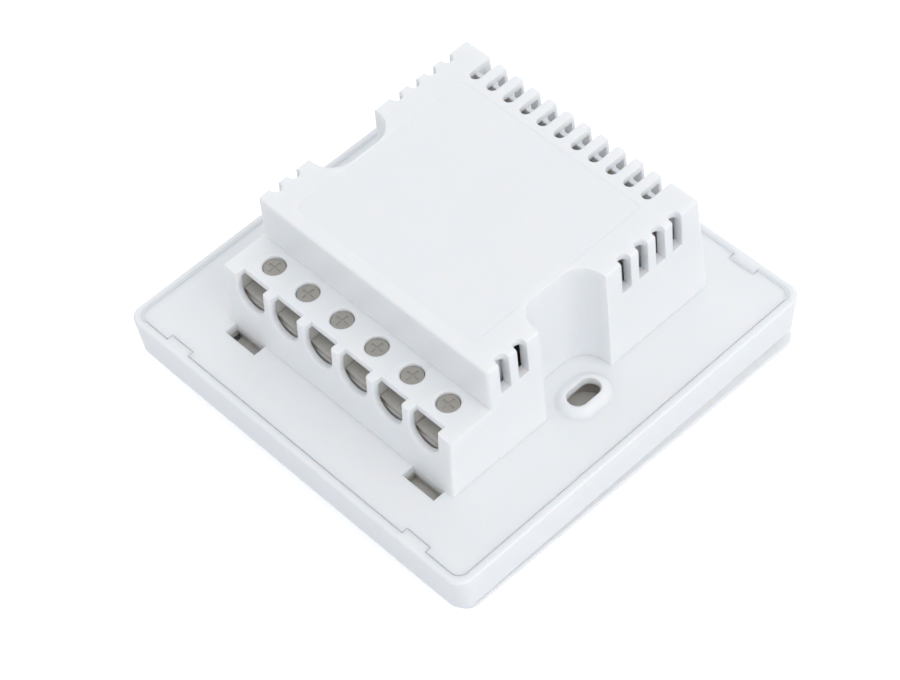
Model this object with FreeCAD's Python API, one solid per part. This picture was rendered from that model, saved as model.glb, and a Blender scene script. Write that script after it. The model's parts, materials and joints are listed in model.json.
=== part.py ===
import FreeCAD, Part
import math
import os

# Smart curtain switch: a square wall plate with three wedge keys, lying on its keys.
# +Z runs from the keys to the back that goes into the wall box. Terminals are at -Y,
# vents at +Y, and the two mounting slots are at -X and +X. All sizes are in millimetres.

# Named clearances
SEAM_GAP = 0.1          # visible joint between the rear plate and the frame
SLIDE_GAP = 0.3         # free-moving neighbours
RUNNING_GAP = 0.05      # radial clearance of a pin, plunger or screw
TOUCH_GAP = 0.05        # faces that meet while something moves
SEAT_GAP = 0.1          # parts placed side by side without pressing

# Front frame
plate_size = 86.0
frame_taper = 0.5           # each side is this much narrower at the front
frame_corner_r = 3.0
frame_edge_r = 0.3
frame_depth = 8.6
rim_width = 1.5             # wall beside the rear plate
frame_front_wall = 1.3
frame_shelf = 1.0           # ledge that carries the rear plate
floor_thickness = 1.4
floor_setback = 2.9         # from the frame's front edge to the floor
screw_pad_r = 4.0           # raised round pad on the floor in line with each mounting slot
screw_pad_height = 0.5

# Keys
key_rise = 3.0              # how much further the wide end stands out
key_narrow_edge = 1.7       # from the frame's front edge to the key's face at the narrow end
key_skin = 1.5
key_edge_r = 0.8
key_hinge_inset = 0.95      # keys' hinged edge, behind the frame's edge
key_gap = 0.5
key_skirt = 1.2
key_skirt_lap = 1.9         # how far the skirt reaches behind the frame's front edge
key_inner_inset = 0.6
key_rib = 1.0
key_rib_top = 0.9           # above the frame's front edge
key_rib_spread = 16.0
middle_key_width = 28.6
button_post_r = 2.0
lens_r = 1.1

# Key hinges
hinge_inset = 5.0           # from the keys' edge to the hinge axis
lens_inset = 6.5            # from the hinge axis to the lens
button_arm = 62.5           # from the hinge axis to the push-button
hinge_pin_r = 0.8
hinge_setback = 1.2         # from the frame's front edge to the hinge axis
hinge_lug = 1.4
hinge_lug_r = 1.2
hinge_ear = 1.4
hinge_spread = 16.0
hinge_pin_length = 1.8

# Rear housing: base plate and terminal and main blocks
base_thickness = 2.0
base_corner_r = 2.0
latch_x = 30.5
latch_width = 5.6
latch_reach = 1.2
latch_thickness = 1.4
main_height = 24.1          # above the base plate's back
main_half_x = 28.55
main_y_low = -20.1
main_y_high = 31.3
main_draft_x = 0.55
main_draft_y = 1.6
terminal_height = 14.2
terminal_half_x = 28.7
terminal_y = -29.7
terminal_draft_x = 0.3
terminal_draft_y = 0.9
block_corner_r = 0.8
block_edge_r = 0.5
vent_edge_r = 1.1           # top edge above the vented wall
terminal_corner_r = 0.5
housing_wall = 1.8
side_wall = 1.9
terminal_roof = 1.4
terminal_front_wall = 1.2
main_roof = 1.5
recess_half_x = 22.4
recess_y_low = -17.6
recess_y_high = 23.7
recess_depth = 0.12
recess_slope = 0.3
recess_corner_r = 1.6

# Vents
vent_pitch = 4.22
vent_count = 11
vent_width = 2.3
vent_inner_y = 25.0
vent_drop = 7.7
side_vent_inner_x = 26.8
side_vent_y = (-16.3, -12.1, 12.9, 17.1, 21.3, 25.5)
vent_tip_r = 0.9            # upright edges of the fingers between the vents
vent_rib_y = 27.05
vent_rib = 0.9
vent_rib_height = 4.0
vent_wall = 1.1            # thinned wall between the fingers' tips and the room behind

# Mounting scoops and slots
mount_spacing = 60.3
slot_width = 4.1
slot_length = 7.0
slot_boss_r = 4.4
slot_boss_height = 1.2
slot_boss_lip = 0.35
slot_sink_r = 4.3
slot_sink_depth = 1.4
scoop_inner_x = 22.5
scoop_half_y = 8.0
scoop_corner_r = 5.0
scoop_wall = 1.5

# Windows at the foot of the terminal block
window_x = 23.0
window_width = 7.8
window_depth = 2.6
window_clear = 0.4          # control board to window, seen from behind

# Terminals
pole_count = 6
pole_pitch = 8.78
screw_y = -23.65
driver_hole_r = 2.2
driver_rim = 0.45
entry_width = 6.8
entry_depth = 7.1
entry_edge_r = 0.6
entry_roof_y = -27.7
marker_r = 0.75
marker_depth = 0.12
marker_offset_x = 0.8
marker_offset_y = 2.75

# Boards
board_edge_gap = 0.9        # power board to the housing's wall
board_front_gap = 0.6       # power board to the terminal block's cover
board_notch_gap = 0.65      # power board to the scoop's wall
control_edge = 3.3          # control board to the rear plate's edge
control_notch_gap = 1.35    # control board to a mounting slot's counterbore
control_thickness = 1.2
control_lift = 0.7          # board above the frame's floor
power_lift = 2.1            # between the two boards
power_thickness = 1.6
link_count = 7
link_pitch = 2.54
link_pin = 0.6
link_bar = 2.4
link_proud = 0.5

# Fasteners
post_edge = 2.4             # post to the power board's edge
post_low = 3.5              # post to the main block's inner wall
post_high = 7.8             # post to the power board's vented edge
small_screw_edge = 4.0      # screw to the control board's edge
post_r = 2.5
board_screw_r = 1.1
board_screw_length = 6.0
board_screw_head_r = 2.0
board_screw_head = 1.4
small_screw_r = 0.9
small_screw_length = 2.6
small_screw_head_r = 1.6
small_screw_head = 0.35
small_post_r = 2.2
small_post_drop = 0.7

# Push-button switches
button_size = 6.0
button_height = 3.4
button_window_gap = 0.7
plunger_r = 1.7
plunger_proud = 0.8
plunger_travel = 0.5
plunger_buried = 1.3

# Terminal hardware: a saddle plate under each screw's head clamps the wire on a brass strip
terminal_body_y_high = -19.9
terminal_end_wall = 0.9
terminal_rear_wall = 1.2
terminal_base = 6.4
pole_half_x = 3.7
contact_thickness = 1.4
contact_half_x = 3.6
contact_setback = 0.1       # behind the terminal block's front
contact_tail = 0.9
contact_tail_below = 0.8
clamp_opening = 2.0         # above the brass strip at rest
clamp_thickness = 0.8
clamp_half_x = 3.5
clamp_reach = 2.25          # from the screw's axis to the plate's front and rear edges
clamp_close = 1.9           # travel down from rest
screw_r = 1.45
screw_head_r = 2.05
screw_head_height = 1.5
screw_slot = 0.45
screw_slot_depth = 0.15
screw_slot_margin = 0.7
screw_engage = 2.4          # thread below the strip's upper face

# Heights worked out from the sizes above
z_frame_front = key_rise + key_narrow_edge
z_back = z_frame_front + frame_depth
z_floor_front = z_frame_front + floor_setback
z_floor_back = z_floor_front + floor_thickness
z_base_front = z_back - base_thickness
z_main_top = z_back + main_height
z_terminal_top = z_back + terminal_height
z_control = z_floor_back + control_lift
z_control_back = z_control + control_thickness
z_power = z_control_back + power_lift
z_power_back = z_power + power_thickness
z_hinge = z_frame_front + hinge_setback
z_button = z_control - button_height
z_plunger = z_button - plunger_proud
z_contact = z_power_back + terminal_base
z_contact_top = z_contact + contact_thickness
z_clamp = z_contact_top + clamp_opening
z_clamp_top = z_clamp + clamp_thickness
z_head = z_clamp_top + TOUCH_GAP
z_terminal_roof = z_terminal_top - terminal_roof
clamp_lift = z_terminal_roof - SEAT_GAP - z_clamp_top
z_main_roof = z_main_top - main_roof

half_back = plate_size / 2.0
half_front = half_back - frame_taper
base_half = half_back - rim_width - SEAM_GAP
key_half = half_front
key_reach = half_front - SLIDE_GAP / 6.0
skirt_half = half_front - frame_front_wall - SLIDE_GAP
key_edge = middle_key_width / 2.0
outer_key_x = (key_edge + key_gap + key_reach) / 2.0
key_slope = key_rise / (2.0 * key_half)
terminal_body_y_low = terminal_y + terminal_front_wall + SEAT_GAP
hinge_y = hinge_inset - half_front
lens_y = hinge_y + lens_inset
button_y = hinge_y + button_arm
control_half = base_half - control_edge
control_notch_x = mount_spacing / 2.0 - slot_sink_r - control_notch_gap
control_notch_y = slot_length / 2.0 + slot_sink_r + control_notch_gap
small_screw_xy = control_half - small_screw_edge
power_half_x = main_half_x - side_wall - board_edge_gap
power_y_low = terminal_y + terminal_front_wall + board_front_gap
power_y_high = main_y_high - housing_wall - board_edge_gap
power_notch_x = scoop_inner_x - scoop_wall - board_notch_gap
power_notch_y = scoop_half_y + scoop_wall + board_notch_gap
post_x = power_half_x - post_edge
post_y = (main_y_low + housing_wall + post_low, power_y_high - post_high)
window_y = terminal_y - terminal_draft_y - SEAT_GAP / 2.0
vent_row_half = (vent_count - 1) / 2.0 * vent_pitch + vent_width / 2.0
pole_x = [(i - (pole_count - 1) / 2.0) * pole_pitch for i in range(pole_count)]
key_names = ("open", "stop", "close")
key_x = dict(open=-outer_key_x, stop=0.0, close=outer_key_x)


def vec(x, y, z):
    return FreeCAD.Vector(x, y, z)


def box(x0, x1, y0, y1, z0, z1):
    return Part.makeBox(x1 - x0, y1 - y0, z1 - z0, vec(x0, y0, z0))


def post(r, x, y, z0, z1):
    return Part.makeCylinder(r, z1 - z0, vec(x, y, z0))


def bar_x(r, x0, x1, y, z):
    return Part.makeCylinder(r, x1 - x0, vec(x0, y, z), vec(1, 0, 0))


def bar_y(r, x, y0, y1, z):
    return Part.makeCylinder(r, y1 - y0, vec(x, y0, z), vec(0, 1, 0))


def fuse(shapes):
    body = shapes[0]
    for shape in shapes[1:]:
        body = body.fuse(shape)
    return body.removeSplitter()


def cut(body, tools):
    for tool in tools:
        body = body.cut(tool)
    return body.removeSplitter()


def rounded_wire(x0, x1, y0, y1, z, radii):
    """Closed outline of a rectangle with its own radius at each corner.

    Corners run from low x, low y anticlockwise; a radius of 0 leaves a sharp corner.
    """
    corners = ((x0, y0, 1, 1), (x1, y0, -1, 1), (x1, y1, -1, -1), (x0, y1, 1, -1))
    arcs = []
    for (cx, cy, sx, sy), r in zip(corners, radii):
        along_x = vec(cx + sx * r, cy, z)
        along_y = vec(cx, cy + sy * r, z)
        k = r * (1.0 - math.sqrt(0.5))
        middle = vec(cx + sx * k, cy + sy * k, z)
        first, last = (along_y, along_x) if sx * sy > 0 else (along_x, along_y)
        arcs.append((first, middle, last, r))
    edges = []
    for i, (first, middle, last, r) in enumerate(arcs):
        if r > 0:
            edges.append(Part.Arc(first, middle, last).toShape())
        edges.append(Part.makeLine(last, arcs[(i + 1) % 4][0]))
    return Part.Wire(edges)


def rounded_prism(x0, x1, y0, y1, z0, z1, r):
    radii = r if isinstance(r, tuple) else (r, r, r, r)
    face = Part.Face(rounded_wire(x0, x1, y0, y1, z0, radii))
    return face.extrude(vec(0, 0, z1 - z0))


def slot_wire(x, half_y, r, z):
    """Outline of a slot along Y: two half circles joined by straight sides."""
    edges = []
    for side in (1, -1):
        start = vec(x + side * r, side * half_y, z)
        end = vec(x - side * r, side * half_y, z)
        edges.append(Part.Arc(start, vec(x, side * (half_y + r), z), end).toShape())
        edges.append(Part.makeLine(end, vec(x - side * r, -side * half_y, z)))
    return Part.Wire(edges)


def slot_prism(x, y, half_y, r, z0, z1):
    """Upright slot that runs along Y: half_y from its middle to each end's centre."""
    return fuse([box(x - r, x + r, y - half_y, y + half_y, z0, z1),
                 post(r, x, y - half_y, z0, z1), post(r, x, y + half_y, z0, z1)])


def drafted_block(half_x, y0, y1, z0, z1, draft_x, draft_low, draft_high, r, edge_r):
    """Block that widens towards z0, with its top edge rounded by edge_r."""
    low = rounded_wire(-half_x - draft_x, half_x + draft_x, y0 - draft_low, y1 + draft_high,
                       z0, (r, r, r, r))
    high = rounded_wire(-half_x, half_x, y0, y1, z1, (r, r, r, r))
    body = Part.makeLoft([low, high], True, True)
    if edge_r == 0:
        return body
    rim = [edge for edge in body.Edges if all(abs(v.Z - z1) < 1e-6 for v in edge.Vertexes)]
    return body.makeFillet(edge_r, rim)


def wedge_x(x0, x1, points):
    """Prism along X with the outline points given as (y, z)."""
    face = Part.Face(Part.makePolygon([vec(x0, y, z) for y, z in points + points[:1]]))
    return face.extrude(vec(x1 - x0, 0, 0))


def key_face_z(y):
    return key_rise - (y + key_half) * key_slope


def key_slab(x0, x1, near, far):
    """Everything between two planes parallel to the keys' sloping face."""
    reach = plate_size
    low = [(-reach, key_face_z(-reach) + near), (reach, key_face_z(reach) + near)]
    high = [(reach, key_face_z(reach) + far), (-reach, key_face_z(-reach) + far)]
    return wedge_x(x0, x1, low + high)


# Front frame

def front_frame():
    e = frame_edge_r
    r = frame_corner_r
    sections = []
    for z, half in ((z_frame_front, half_front - e), (z_frame_front + e, half_front),
                    (z_back - e, half_back), (z_back, half_back - e)):
        sections.append(rounded_wire(-half, half, -half, half, z, (r, r, r, r)))
    body = Part.makeLoft(sections, True, True)
    pocket = base_half + SEAM_GAP
    inner = pocket - frame_shelf
    mouth = half_front - frame_front_wall
    tools = [rounded_prism(-pocket, pocket, -pocket, pocket, z_base_front, z_back + 1,
                           base_corner_r),
             rounded_prism(-inner, inner, -inner, inner, z_floor_back, z_base_front,
                           base_corner_r),
             rounded_prism(-mouth, mouth, -mouth, mouth, z_frame_front - 1, z_floor_front,
                           base_corner_r)]
    body = cut(body, tools)
    extras = []
    for sx in (-1, 1):
        for sy in (-1, 1):
            x, y = sx * small_screw_xy, sy * small_screw_xy
            extras.append(post(small_post_r, x, y, z_floor_front - small_post_drop, z_control))
            x0 = sx * latch_x - latch_width / 2.0
            edge = sy * (pocket + SEAM_GAP)
            tip = sy * (pocket - latch_reach)
            extras.append(box(x0, x0 + latch_width, min(edge, tip), max(edge, tip),
                              z_back - latch_thickness, z_back))
        extras.append(post(screw_pad_r, sx * mount_spacing / 2.0, 0.0, z_floor_back - SEAT_GAP,
                           z_floor_back + screw_pad_height))
    for name in key_names:
        for side in (-1, 1):
            x0 = key_x[name] + side * (hinge_spread / 2.0 + hinge_ear / 2.0 + SLIDE_GAP)
            x1 = x0 + side * hinge_lug
            low, high = min(x0, x1), max(x0, x1)
            extras.append(bar_x(hinge_lug_r, low, high, hinge_y, z_hinge))
            extras.append(box(low, high, hinge_y - hinge_lug_r, hinge_y + hinge_lug_r,
                              z_hinge, z_floor_front))
    body = fuse([body] + extras)
    holes = []
    for name in key_names:
        x = key_x[name]
        for side in (-1, 1):
            start = x + side * hinge_spread / 2.0
            end = start + side * (hinge_ear + hinge_lug + 2 * SLIDE_GAP)
            holes.append(bar_x(hinge_pin_r + RUNNING_GAP, min(start, end), max(start, end),
                               hinge_y, z_hinge))
        w = button_size / 2.0 + button_window_gap
        holes.append(box(x - w, x + w, button_y - w, button_y + w, z_floor_front - 1,
                         z_floor_back + 1))
        holes.append(post(guide_r + RUNNING_GAP, x, lens_y, z_floor_front - 1,
                          z_floor_back + 1))
    for sx in (-1, 1):
        for sy in (-1, 1):
            holes.append(post(small_screw_r + RUNNING_GAP, sx * small_screw_xy,
                              sy * small_screw_xy, z_control - small_screw_length - SEAT_GAP,
                              z_control + 1))
    holes.append(box(-radio_window_x, radio_window_x, -radio_window_y, radio_window_y,
                     z_floor_front - 1, z_floor_back + 1))
    return cut(body, holes)


# Keys

def key_span(name):
    """Low and high x of a key, and which of its ends lie on the frame's edge."""
    if name == "stop":
        return -key_edge, key_edge, False, False
    if name == "open":
        return -key_reach, -key_edge - key_gap, True, False
    return key_edge + key_gap, key_reach, False, True


def key_outline(name, inset_outer, inset_inner, z0, z1, shrink_r):
    x0, x1, outer_low, outer_high = key_span(name)
    x0 += inset_outer if outer_low else inset_inner
    x1 -= inset_outer if outer_high else inset_inner
    half = key_reach - inset_outer
    hinge_side = min(half, key_reach - key_hinge_inset)
    r = max(frame_corner_r - shrink_r, key_edge_r)
    small = key_gap
    low = r if outer_low else small
    high = r if outer_high else small
    return rounded_prism(x0, x1, -hinge_side, half, z0, z1, (low, high, high, low))


def key(name):
    x0, x1, outer_low, outer_high = key_span(name)
    top = z_floor_front
    skin = key_outline(name, 0.0, 0.0, -1.0, top, 0.0).common(key_slab(x0, x1, 0.0, key_skin))
    face_edges = [edge for edge in skin.Edges
                  if all(abs(v.Z - key_face_z(v.Y)) < 1e-4 for v in edge.Vertexes)]
    skin = skin.makeFillet(key_edge_r, face_edges)
    inset = key_reach - skirt_half
    shell = key_outline(name, inset, key_inner_inset, -1.0, z_frame_front + key_skirt_lap, inset)
    hollow = key_outline(name, inset + key_skirt, key_inner_inset + key_skirt, -2.0, top, inset)
    behind_face = key_slab(x0, x1, key_skin - SEAT_GAP, 40.0)
    walls = shell.cut(hollow).common(behind_face)
    x = key_x[name]
    inner_x0 = x0 + (inset if outer_low else key_inner_inset) + SEAT_GAP
    inner_x1 = x1 - (inset if outer_high else key_inner_inset) - SEAT_GAP
    inner_y = skirt_half - SEAT_GAP
    z_rib = z_frame_front + key_rib_top
    ribs = []
    for side in (-1, 1):
        rx = x + side * key_rib_spread / 2.0
        ribs.append(box(rx - key_rib / 2.0, rx + key_rib / 2.0, hinge_y + 3.0, inner_y, 0.0, z_rib))
    for ry in (-22.0, -6.0, 10.0, 34.0):
        ribs.append(box(inner_x0, inner_x1, ry - key_rib / 2.0, ry + key_rib / 2.0, 0.0, z_rib))
    ribs.append(post(button_post_r, x, button_y, 0.0, z_plunger - TOUCH_GAP))
    pins = []
    for side in (-1, 1):
        ex = x + side * hinge_spread / 2.0
        ribs.append(box(ex - hinge_ear / 2.0, ex + hinge_ear / 2.0, hinge_y - hinge_lug_r,
                        hinge_y + hinge_lug_r, 0.0, z_hinge))
        pins.append(bar_x(hinge_lug_r, ex - hinge_ear / 2.0, ex + hinge_ear / 2.0,
                          hinge_y, z_hinge))
        start = ex + side * (hinge_ear / 2.0 - SEAT_GAP)
        end = start + side * (hinge_pin_length + SEAT_GAP)
        pins.append(bar_x(hinge_pin_r, min(start, end), max(start, end), hinge_y, z_hinge))
    ribs = [rib.common(behind_face) for rib in ribs]
    body = fuse([skin, walls] + ribs + pins)
    return body.cut(post(lens_r + TOUCH_GAP, x, lens_y, -1.0, z_hinge))


def key_lens(name):
    x = key_x[name]
    rod = post(lens_r, x, lens_y, -1.0, z_hinge)
    return rod.common(key_slab(x - 5.0, x + 5.0, TOUCH_GAP, key_skin))


guide_r = 1.3
guide_flange_r = 1.9
guide_flange = 0.3
guide_end = 0.6          # in front of the frame's front edge plane, measured backwards


def light_guides():
    guides = []
    for name in key_names:
        x = key_x[name]
        guides.append(fuse([post(guide_r, x, lens_y, z_frame_front + guide_end, z_floor_back),
                            post(guide_flange_r, x, lens_y, z_floor_back,
                                 z_floor_back + guide_flange)]))
    return Part.makeCompound(guides)


# Rear housing

def scoop(side, grow, z0, z1):
    """Upright U-shaped hollow beside a mounting slot, grown outwards by a wall."""
    inner = scoop_inner_x - grow
    outer = half_back
    half = scoop_half_y + grow
    r = scoop_corner_r + grow
    if side > 0:
        return rounded_prism(inner, outer, -half, half, z0, z1, (r, 0, 0, r))
    return rounded_prism(-outer, -inner, -half, half, z0, z1, (0, r, r, 0))


def vent_mouth(x, z_low, z_high):
    """Rounds the upright edges on both sides of a vent, leaning with the drafted wall."""
    r = vent_width / 2.0
    f = vent_tip_r
    k = f * (1.0 - math.sqrt(0.5))
    lean = main_draft_y / main_height
    y = main_y_high + lean * (z_main_top - z_low)
    edges = []
    for side in (-1, 1):
        inner = vec(x + side * r, y - f, z_low)
        outer = vec(x + side * (r + f), y, z_low)
        away = vec(x + side * (r + f), y + 1.0, z_low)
        middle = vec(x + side * (r + k), y - k, z_low)
        edges.append(Part.Arc(inner, middle, outer).toShape())
        edges.append(Part.makeLine(outer, away))
    edges.append(Part.makeLine(vec(x - r - f, y + 1.0, z_low), vec(x + r + f, y + 1.0, z_low)))
    edges.append(Part.makeLine(vec(x - r, y - f, z_low), vec(x + r, y - f, z_low)))
    outline = Part.Wire(Part.__sortEdges__(edges))
    return Part.Face(outline).extrude(vec(0, lean * (z_low - z_high), z_high - z_low))


def vent_cutters():
    r = vent_width / 2.0
    z_low = z_main_top - vent_drop + r
    z_high = z_main_top + 1.0
    cutters = []
    for i in range(vent_count):
        x = (i - (vent_count - 1) / 2.0) * vent_pitch
        y0 = vent_inner_y + r
        y1 = main_y_high + main_draft_y + 1.0
        roof_cut = fuse([box(x - r, x + r, y0, y1, z_low, z_high), post(r, x, y0, z_low, z_high)])
        cutters.append(roof_cut)
        cutters.append(bar_y(r, x, vent_rib_y + vent_rib, y1, z_low))
        cutters.append(vent_mouth(x, z_low, z_high))
    for side in (-1, 1):
        for y in side_vent_y:
            a = side * (side_vent_inner_x + r)
            b = side * (main_half_x + main_draft_x + 1.0)
            low, high = min(a, b), max(a, b)
            cutters.append(fuse([box(low, high, y - r, y + r, z_low, z_high),
                                 post(r, a, y, z_low, z_high)]))
            c = side * (main_half_x - side_wall - 1.0)
            low, high = min(c, b), max(c, b)
            cutters.append(box(low, high, y - r, y + r, z_main_top - vent_drop, z_main_roof))
    return cutters


def vent_edge_cutter():
    """Takes the corner off the top edge above the vents, tangent to the roof and the wall."""
    r = vent_edge_r
    draft = math.atan(main_draft_y / main_height)
    y = main_y_high - r * (1.0 - math.sin(draft)) / math.cos(draft)
    z = z_main_top - r
    reach = main_half_x + 1.0
    top = vec(-reach, y, z_main_top)
    half_way = (math.pi / 2.0 + draft) / 2.0
    middle = vec(-reach, y + r * math.cos(half_way), z + r * math.sin(half_way))
    low = vec(-reach, y + r * math.cos(draft), z + r * math.sin(draft))
    out = vec(-reach, low.y + 2.0 * math.cos(draft), low.z + 2.0 * math.sin(draft))
    above = vec(-reach, out.y, z_main_top + 1.0)
    back = vec(-reach, y, z_main_top + 1.0)
    outline = Part.Wire([Part.Arc(top, middle, low).toShape(), Part.makeLine(low, out),
                         Part.makeLine(out, above), Part.makeLine(above, back),
                         Part.makeLine(back, top)])
    return Part.Face(outline).extrude(vec(2.0 * reach, 0, 0))


def entry_slot(x):
    """U-shaped wire entry through the front wall: round below, open at the block's top."""
    r = entry_width / 2.0
    z_centre = z_terminal_top - entry_depth + r
    y0 = terminal_y - terminal_draft_y - 1.0
    y1 = terminal_y + terminal_front_wall + SEAT_GAP
    return fuse([bar_y(r, x, y0, y1, z_centre),
                 box(x - r, x + r, y0, y1, z_centre, z_terminal_top + 1.0)])


def terminal_cover():
    """The terminal block's outside with its six wire entries, their outer edges rounded."""
    body = drafted_block(terminal_half_x, terminal_y, main_y_low + housing_wall, z_back,
                         z_terminal_top, terminal_draft_x, terminal_draft_y, 0.0,
                         terminal_corner_r, 0.0)
    body = body.cut(fuse([entry_slot(x) for x in pole_x]))
    lean = terminal_draft_y / terminal_height
    mouths = []
    for edge in body.Edges:
        points = edge.discretize(5)
        on_front = all(abs(p.y - terminal_y + lean * (z_terminal_top - p.z)) < 1e-4
                       for p in points)
        on_top = all(abs(p.z - z_terminal_top) < 1e-4 for p in points)
        on_foot = all(abs(p.z - z_back) < 1e-4 for p in points)
        at_end = all(abs(p.x) > pole_x[-1] + pole_pitch / 2.0 for p in points)
        if on_front and not (on_top or on_foot or at_end):
            mouths.append(edge)
    body = body.makeFillet(entry_edge_r, mouths)
    r = entry_width / 2.0
    y0 = terminal_y - terminal_draft_y - 1.0
    roofs = [box(x - r, x + r, y0, entry_roof_y, z_terminal_roof - SEAT_GAP,
                 z_terminal_top + 1.0) for x in pole_x]
    return cut(body, roofs)


def driver_hole():
    """Round hole over a terminal screw, with its upper edge rounded."""
    r = driver_hole_r
    rim = driver_rim
    z = z_terminal_top - rim
    ring = post(r + rim, 0.0, screw_y, z, z_terminal_top + 1.0)
    ring = ring.cut(Part.makeTorus(r + rim, rim, vec(0.0, screw_y, z)))
    return fuse([post(r, 0.0, screw_y, z_terminal_roof - 1.0, z_terminal_top + 1.0), ring])


def base_plate():
    body = rounded_prism(-base_half, base_half, -base_half, base_half, z_base_front, z_back,
                         base_corner_r)
    notches = []
    for sx in (-1, 1):
        for sy in (-1, 1):
            x0 = sx * latch_x - latch_width / 2.0 - SEAT_GAP
            tip = sy * (base_half + SEAM_GAP - latch_reach - SEAM_GAP)
            end = sy * (base_half + 1.0)
            notches.append(box(x0, x0 + latch_width + 2 * SEAT_GAP, min(tip, end), max(tip, end),
                               z_back - latch_thickness - SEAT_GAP, z_back + 1.0))
    return cut(body, notches)


def slot_boss(side):
    """Low swell round a mounting slot, half a cosine wave from the plate up to its crown."""
    x = side * mount_spacing / 2.0
    half = (slot_length - slot_width) / 2.0
    crown = slot_width / 2.0 + slot_boss_lip
    sections = [(z_back - SEAT_GAP, slot_boss_r)]
    for degrees in range(15, 181, 15):
        rise = (1.0 - math.cos(math.radians(degrees))) / 2.0
        sections.append((z_back + slot_boss_height * rise,
                         slot_boss_r - (slot_boss_r - crown) * degrees / 180.0))
    return Part.makeLoft([slot_wire(x, half, r, z) for z, r in sections], True, True)


def vent_room():
    """Space behind the fingers, where the vented wall is thinner."""
    return box(-vent_row_half, vent_row_half, vent_rib_y + vent_rib, main_y_high - vent_wall,
               z_main_top - vent_drop, z_main_roof)


def rear_housing():
    main = drafted_block(main_half_x, main_y_low, main_y_high, z_back, z_main_top,
                         main_draft_x, 0.0, main_draft_y, block_corner_r, block_edge_r)
    main = main.cut(vent_edge_cutter())
    body = fuse([base_plate(), main, terminal_cover()])
    w = housing_wall
    main_void = drafted_block(main_half_x - side_wall, main_y_low + w, main_y_high - w,
                              z_base_front - 1.0, z_main_roof, main_draft_x, 0.0,
                              main_draft_y, block_corner_r, 0.0)
    terminal_void = drafted_block(terminal_half_x - w, terminal_y + terminal_front_wall,
                                  main_y_low + 2 * w,
                                  z_base_front - 1.0, z_terminal_roof, terminal_draft_x,
                                  terminal_draft_y, 0.0, block_corner_r, 0.0)
    void = fuse([main_void, terminal_void])
    for side in (-1, 1):
        void = void.cut(scoop(side, scoop_wall, z_base_front - 2.0, z_main_top))
    body = body.cut(void)
    for side in (-1, 1):
        body = body.cut(scoop(side, 0.0, z_back, z_main_top + 1.0))
    keep = []
    keep.extend(slot_boss(side) for side in (-1, 1))
    for sx in (-1, 1):
        for y in post_y:
            keep.append(post(post_r, sx * post_x, y, z_power_back, z_main_roof + SEAT_GAP))
    rib_x = main_half_x - side_wall / 2.0
    rib_end = vent_rib_y + vent_rib
    keep.append(box(-rib_x, rib_x, vent_rib_y, rib_end, z_main_roof - vent_rib_height,
                    z_main_roof))
    for side in (-1, 1):
        a, b = side * vent_row_half, side * rib_x
        keep.append(box(min(a, b), max(a, b),
                        rib_end, main_y_high - vent_wall, z_main_roof - vent_rib_height,
                        z_main_roof))
    body = cut(body, vent_cutters() + [vent_room()])
    body = fuse([body] + keep)
    half = (slot_length - slot_width) / 2.0
    tools = []
    for side in (-1, 1):
        x = side * mount_spacing / 2.0
        tools.append(slot_prism(x, 0.0, half, slot_width / 2.0, z_base_front - 1.0,
                                z_main_top))
        tools.append(slot_prism(x, 0.0, half, slot_sink_r, z_base_front - 1.0,
                                z_base_front + slot_sink_depth))
        x0 = side * window_x - window_width / 2.0
        tools.append(box(x0, x0 + window_width, window_y - window_depth, window_y,
                         z_base_front - 1.0,
                         z_back + 1.0))
    hole = driver_hole()
    tools.extend(hole.translated(vec(x, 0, 0)) for x in pole_x)
    marker_x = pole_x[4] + marker_offset_x
    tools.append(post(marker_r, marker_x, screw_y + marker_offset_y,
                      z_terminal_top - marker_depth, z_terminal_top + 1.0))
    rims = []
    for z in (z_main_top - recess_depth, z_main_top + recess_depth):
        grow = recess_slope if z > z_main_top else -recess_slope
        rims.append(rounded_wire(-recess_half_x - grow, recess_half_x + grow, recess_y_low - grow,
                                 recess_y_high + grow, z, (recess_corner_r + grow,) * 4))
    tools.append(Part.makeLoft(rims, True, True))
    for sx in (-1, 1):
        for y in post_y:
            tools.append(post(board_screw_r + RUNNING_GAP, sx * post_x, y, z_power_back - 1.0,
                              z_power_back + board_screw_length))
    return cut(body, tools)


# Control board and what it carries

link_first_x = 5.0
link_y = power_y_high - 3.0

def control_board():
    h = control_half
    body = rounded_prism(-h, h, -h, h, z_control, z_control_back, frame_corner_r)
    tools = []
    for side in (-1, 1):
        a, b = side * control_notch_x, side * (h + 1.0)
        tools.append(box(min(a, b), max(a, b), -control_notch_y, control_notch_y,
                         z_control - 1.0, z_control_back + 1.0))
        half = window_width / 2.0 + window_clear
        tools.append(box(side * window_x - half, side * window_x + half, -h - 1.0,
                         window_y + window_clear, z_control - 1.0, z_control_back + 1.0))
    for sx in (-1, 1):
        for sy in (-1, 1):
            tools.append(post(small_screw_r + RUNNING_GAP, sx * small_screw_xy,
                              sy * small_screw_xy, z_control - 1.0, z_control_back + 1.0))
    for x in link_x:
        half = link_pin / 2.0 + RUNNING_GAP
        tools.append(box(x - half, x + half, link_y - half, link_y + half, z_control - 1.0,
                         z_control_back + 1.0))
    return cut(body, tools)


link_x = [link_first_x + i * link_pitch for i in range(link_count)]


def control_board_screws():
    screws = []
    for sx in (-1, 1):
        for sy in (-1, 1):
            x, y = sx * small_screw_xy, sy * small_screw_xy
            screws.append(fuse([post(small_screw_r, x, y, z_control - small_screw_length,
                                     z_control_back),
                                post(small_screw_head_r, x, y, z_control_back,
                                     z_control_back + small_screw_head)]))
    return Part.makeCompound(screws)


def button_body(x):
    half = button_size / 2.0
    body = box(x - half, x + half, button_y - half, button_y + half, z_button, z_control)
    bore = post(plunger_r + RUNNING_GAP, x, button_y, z_button - 1.0,
                z_button + plunger_buried + plunger_travel + SEAT_GAP)
    return body.cut(bore)


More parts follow.
